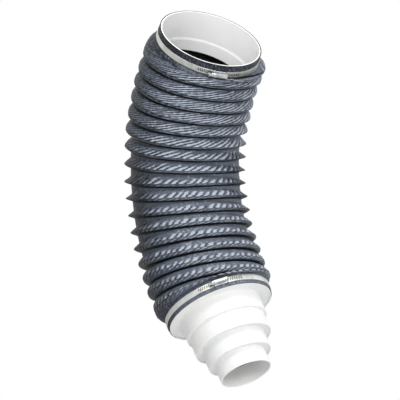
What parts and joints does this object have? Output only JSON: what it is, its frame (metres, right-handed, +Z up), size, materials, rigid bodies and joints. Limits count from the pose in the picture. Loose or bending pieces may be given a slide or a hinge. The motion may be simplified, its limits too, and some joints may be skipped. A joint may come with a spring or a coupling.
{
  "type": "flexible connection hose",
  "caption": "Bent wire-wound pleated hose with a plastic inlet collar in one end, a stepped plastic reducer in the other and a worm-drive clamp round each end.",
  "frame": {"origin": "centre of the inlet collar's mouth", "axes": "+Z up along the chord of the bend, +X towards the centre of the bend, so both mouths face +X; the hose hangs below the origin"},
  "size_m": [0.2655, 0.1852, 0.5689],
  "materials": {
    "hose_skin": "coated slate-blue fabric, satin",
    "white_plastic": "moulded white, slight sheen",
    "clamp_band": "stainless strip",
    "clamp_screw": "zinc-plated",
    "wire": "drawn spring steel"
  },
  "bodies": {
    "inlet_collar": {"inlet_collar": "white_plastic"},
    "upper_end": {"upper_cuff": "hose_skin", "upper_run_out": "hose_skin", "upper_end_pleat": "hose_skin", "upper_end_wire": "wire", "upper_clamp_band": "clamp_band", "upper_clamp_housing": "clamp_band"},
    "upper_screw": {"upper_clamp_screw": "clamp_screw"},
    "pleat_01": {"pleat_01": "hose_skin"},
    "wire_turn_01": {"wire_turn_01": "wire"},
    "pleat_02": {"pleat_02": "hose_skin"},
    "wire_turn_02": {"wire_turn_02": "wire"},
    "pleat_03": {"pleat_03": "hose_skin"},
    "wire_turn_03": {"wire_turn_03": "wire"},
    "pleat_04": {"pleat_04": "hose_skin"},
    "wire_turn_04": {"wire_turn_04": "wire"},
    "pleat_05": {"pleat_05": "hose_skin"},
    "wire_turn_05": {"wire_turn_05": "wire"},
    "pleat_06": {"pleat_06": "hose_skin"},
    "wire_turn_06": {"wire_turn_06": "wire"},
    "pleat_07": {"pleat_07": "hose_skin"},
    "wire_turn_07": {"wire_turn_07": "wire"},
    "pleat_08": {"pleat_08": "hose_skin"},
    "wire_turn_08": {"wire_turn_08": "wire"},
    "pleat_09": {"pleat_09": "hose_skin"},
    "wire_turn_09": {"wire_turn_09": "wire"},
    "pleat_10": {"pleat_10": "hose_skin"},
    "wire_turn_10": {"wire_turn_10": "wire"},
    "pleat_11": {"pleat_11": "hose_skin"},
    "wire_turn_11": {"wire_turn_11": "wire"},
    "pleat_12": {"pleat_12": "hose_skin"},
    "wire_turn_12": {"wire_turn_12": "wire"},
    "pleat_13": {"pleat_13": "hose_skin"},
    "wire_turn_13": {"wire_turn_13": "wire"},
    "pleat_14": {"pleat_14": "hose_skin"},
    "lower_end": {"lower_end_wire": "wire", "lower_run_out": "hose_skin", "lower_cuff": "hose_skin", "lower_clamp_band": "clamp_band", "lower_clamp_housing": "clamp_band"},
    "lower_screw": {"lower_clamp_screw": "clamp_screw"},
    "reducer": {"reducer_spigot": "white_plastic", "reducer_step_1": "white_plastic", "reducer_step_2": "white_plastic", "reducer_step_3": "white_plastic", "reducer_step_4": "white_plastic"}
  },
  "joints": [
    {"name": "upper_end_swivel", "type": "hinge", "parent": "inlet_collar", "child": "upper_end", "pos_m": [0, 0, 0], "axis": [0.5527, 0, 0.8334], "continuous": true},
    {"name": "upper_screw_turn", "type": "hinge", "parent": "upper_end", "child": "upper_screw", "pos_m": [0.05924, -0.02767, -0.05609], "axis": [0.2713, 0.9455, -0.1799], "continuous": true},
    {"name": "stretch_01", "type": "slide", "parent": "upper_end", "child": "pleat_01", "axis": [-0.5278, 0, -0.8494], "range_m": [-0.008, 0.004], "deforming": ["pleat_01"]},
    {"name": "bend_01", "type": "hinge", "parent": "pleat_01", "child": "wire_turn_01", "pos_m": [-0.04512, 0, -0.06826], "axis": [0, -1, 0], "range_deg": [-4.8, 1.5], "deforming": ["pleat_01"]},
    {"name": "stretch_02", "type": "slide", "parent": "wire_turn_01", "child": "pleat_02", "axis": [-0.4517, 0, -0.8921], "range_m": [-0.008, 0.004], "deforming": ["pleat_02"]},
    {"name": "bend_02", "type": "hinge", "parent": "pleat_02", "child": "wire_turn_02", "pos_m": [-0.05674, 0, -0.0889], "axis": [0, -1, 0], "range_deg": [-4.8, 1.5], "deforming": ["pleat_02"]},
    {"name": "stretch_03", "type": "slide", "parent": "wire_turn_02", "child": "pleat_03", "axis": [-0.3723, 0, -0.9281], "range_m": [-0.008, 0.004], "deforming": ["pleat_03"]},
    {"name": "bend_03", "type": "hinge", "parent": "pleat_03", "child": "wire_turn_03", "pos_m": [-0.0665, 0, -0.11049], "axis": [0, -1, 0], "range_deg": [-4.8, 1.5], "deforming": ["pleat_03"]},
    {"name": "stretch_04", "type": "slide", "parent": "wire_turn_03", "child": "pleat_04", "axis": [-0.2899, 0, -0.957], "range_m": [-0.008, 0.004], "deforming": ["pleat_04"]},
    {"name": "bend_04", "type": "hinge", "parent": "pleat_04", "child": "wire_turn_04", "pos_m": [-0.07436, 0, -0.13284], "axis": [0, -1, 0], "range_deg": [-4.8, 1.5], "deforming": ["pleat_04"]},
    {"name": "stretch_05", "type": "slide", "parent": "wire_turn_04", "child": "pleat_05", "axis": [-0.2054, 0, -0.9787], "range_m": [-0.008, 0.004], "deforming": ["pleat_05"]},
    {"name": "bend_05", "type": "hinge", "parent": "pleat_05", "child": "wire_turn_05", "pos_m": [-0.08023, 0, -0.15579], "axis": [0, -1, 0], "range_deg": [-4.8, 1.5], "deforming": ["pleat_05"]},
    {"name": "stretch_06", "type": "slide", "parent": "wire_turn_05", "child": "pleat_06", "axis": [-0.1193, 0, -0.9929], "range_m": [-0.008, 0.004], "deforming": ["pleat_06"]},
    {"name": "bend_06", "type": "hinge", "parent": "pleat_06", "child": "wire_turn_06", "pos_m": [-0.08408, 0, -0.17916], "axis": [0, -1, 0], "range_deg": [-4.8, 1.5], "deforming": ["pleat_06"]},
    {"name": "stretch_07", "type": "slide", "parent": "wire_turn_06", "child": "pleat_07", "axis": [-0.0323, 0, -0.9995], "range_m": [-0.008, 0.004], "deforming": ["pleat_07"]},
    {"name": "bend_07", "type": "hinge", "parent": "pleat_07", "child": "wire_turn_07", "pos_m": [-0.08588, 0, -0.20278], "axis": [0, -1, 0], "range_deg": [-4.8, 1.5], "deforming": ["pleat_07"]},
    {"name": "stretch_08", "type": "slide", "parent": "wire_turn_07", "child": "pleat_08", "axis": [0.0549, 0, -0.9985], "range_m": [-0.008, 0.004], "deforming": ["pleat_08"]},
    {"name": "bend_08", "type": "hinge", "parent": "pleat_08", "child": "wire_turn_08", "pos_m": [-0.08561, 0, -0.22647], "axis": [0, -1, 0], "range_deg": [-4.8, 1.5], "deforming": ["pleat_08"]},
    {"name": "stretch_09", "type": "slide", "parent": "wire_turn_08", "child": "pleat_09", "axis": [0.1418, 0, -0.9899], "range_m": [-0.008, 0.004], "deforming": ["pleat_09"]},
    {"name": "bend_09", "type": "hinge", "parent": "pleat_09", "child": "wire_turn_09", "pos_m": [-0.08328, 0, -0.25005], "axis": [0, -1, 0], "range_deg": [-4.8, 1.5], "deforming": ["pleat_09"]},
    {"name": "stretch_10", "type": "slide", "parent": "wire_turn_09", "child": "pleat_10", "axis": [0.2275, 0, -0.9738], "range_m": [-0.008, 0.004], "deforming": ["pleat_10"]},
    {"name": "bend_10", "type": "hinge", "parent": "pleat_10", "child": "wire_turn_10", "pos_m": [-0.0789, 0, -0.27333], "axis": [0, -1, 0], "range_deg": [-4.8, 1.5], "deforming": ["pleat_10"]},
    {"name": "stretch_11", "type": "slide", "parent": "wire_turn_10", "child": "pleat_11", "axis": [0.3116, 0, -0.9502], "range_m": [-0.008, 0.004], "deforming": ["pleat_11"]},
    {"name": "bend_11", "type": "hinge", "parent": "pleat_11", "child": "wire_turn_11", "pos_m": [-0.07251, 0, -0.29614], "axis": [0, -1, 0], "range_deg": [-4.8, 1.5], "deforming": ["pleat_11"]},
    {"name": "stretch_12", "type": "slide", "parent": "wire_turn_11", "child": "pleat_12", "axis": [0.3932, 0, -0.9195], "range_m": [-0.008, 0.004], "deforming": ["pleat_12"]},
    {"name": "bend_12", "type": "hinge", "parent": "pleat_12", "child": "wire_turn_12", "pos_m": [-0.06415, 0, -0.31831], "axis": [0, -1, 0], "range_deg": [-4.8, 1.5], "deforming": ["pleat_12"]},
    {"name": "stretch_13", "type": "slide", "parent": "wire_turn_12", "child": "pleat_13", "axis": [0.4719, 0, -0.8817], "range_m": [-0.008, 0.004], "deforming": ["pleat_13"]},
    {"name": "bend_13", "type": "hinge", "parent": "pleat_13", "child": "wire_turn_13", "pos_m": [-0.05389, 0, -0.33966], "axis": [0, -1, 0], "range_deg": [-4.8, 1.5], "deforming": ["pleat_13"]},
    {"name": "stretch_14", "type": "slide", "parent": "wire_turn_13", "child": "pleat_14", "axis": [0.5469, 0, -0.8372], "range_m": [-0.008, 0.004], "deforming": ["pleat_14"]},
    {"name": "bend_14", "type": "hinge", "parent": "pleat_14", "child": "lower_end", "pos_m": [-0.04181, 0, -0.36004], "axis": [0, -1, 0], "range_deg": [-4.8, 1.5], "deforming": ["pleat_14"]},
    {"name": "lower_screw_turn", "type": "hinge", "parent": "lower_end", "child": "lower_screw", "pos_m": [0.05368, -0.03949, -0.36075], "axis": [0.3719, 0.8949, 0.2466], "continuous": true},
    {"name": "reducer_swivel", "type": "hinge", "parent": "lower_end", "child": "reducer", "pos_m": [-0.00647, 0, -0.41336], "axis": [0.5527, 0, -0.8334], "continuous": true}
  ],
  "couplings": [
    {"joint": "stretch_02", "follows": "stretch_01", "ratio": 1},
    {"joint": "bend_02", "follows": "bend_01", "ratio": 1},
    {"joint": "stretch_03", "follows": "stretch_01", "ratio": 1},
    {"joint": "bend_03", "follows": "bend_01", "ratio": 1},
    {"joint": "stretch_04", "follows": "stretch_01", "ratio": 1},
    {"joint": "bend_04", "follows": "bend_01", "ratio": 1},
    {"joint": "stretch_05", "follows": "stretch_01", "ratio": 1},
    {"joint": "bend_05", "follows": "bend_01", "ratio": 1},
    {"joint": "stretch_06", "follows": "stretch_01", "ratio": 1},
    {"joint": "bend_06", "follows": "bend_01", "ratio": 1},
    {"joint": "stretch_07", "follows": "stretch_01", "ratio": 1},
    {"joint": "bend_07", "follows": "bend_01", "ratio": 1},
    {"joint": "stretch_08", "follows": "stretch_01", "ratio": 1},
    {"joint": "bend_08", "follows": "bend_01", "ratio": 1},
    {"joint": "stretch_09", "follows": "stretch_01", "ratio": 1},
    {"joint": "bend_09", "follows": "bend_01", "ratio": 1},
    {"joint": "stretch_10", "follows": "stretch_01", "ratio": 1},
    {"joint": "bend_10", "follows": "bend_01", "ratio": 1},
    {"joint": "stretch_11", "follows": "stretch_01", "ratio": 1},
    {"joint": "bend_11", "follows": "bend_01", "ratio": 1},
    {"joint": "stretch_12", "follows": "stretch_01", "ratio": 1},
    {"joint": "bend_12", "follows": "bend_01", "ratio": 1},
    {"joint": "stretch_13", "follows": "stretch_01", "ratio": 1},
    {"joint": "bend_13", "follows": "bend_01", "ratio": 1},
    {"joint": "stretch_14", "follows": "stretch_01", "ratio": 1},
    {"joint": "bend_14", "follows": "bend_01", "ratio": 1}
  ]
}
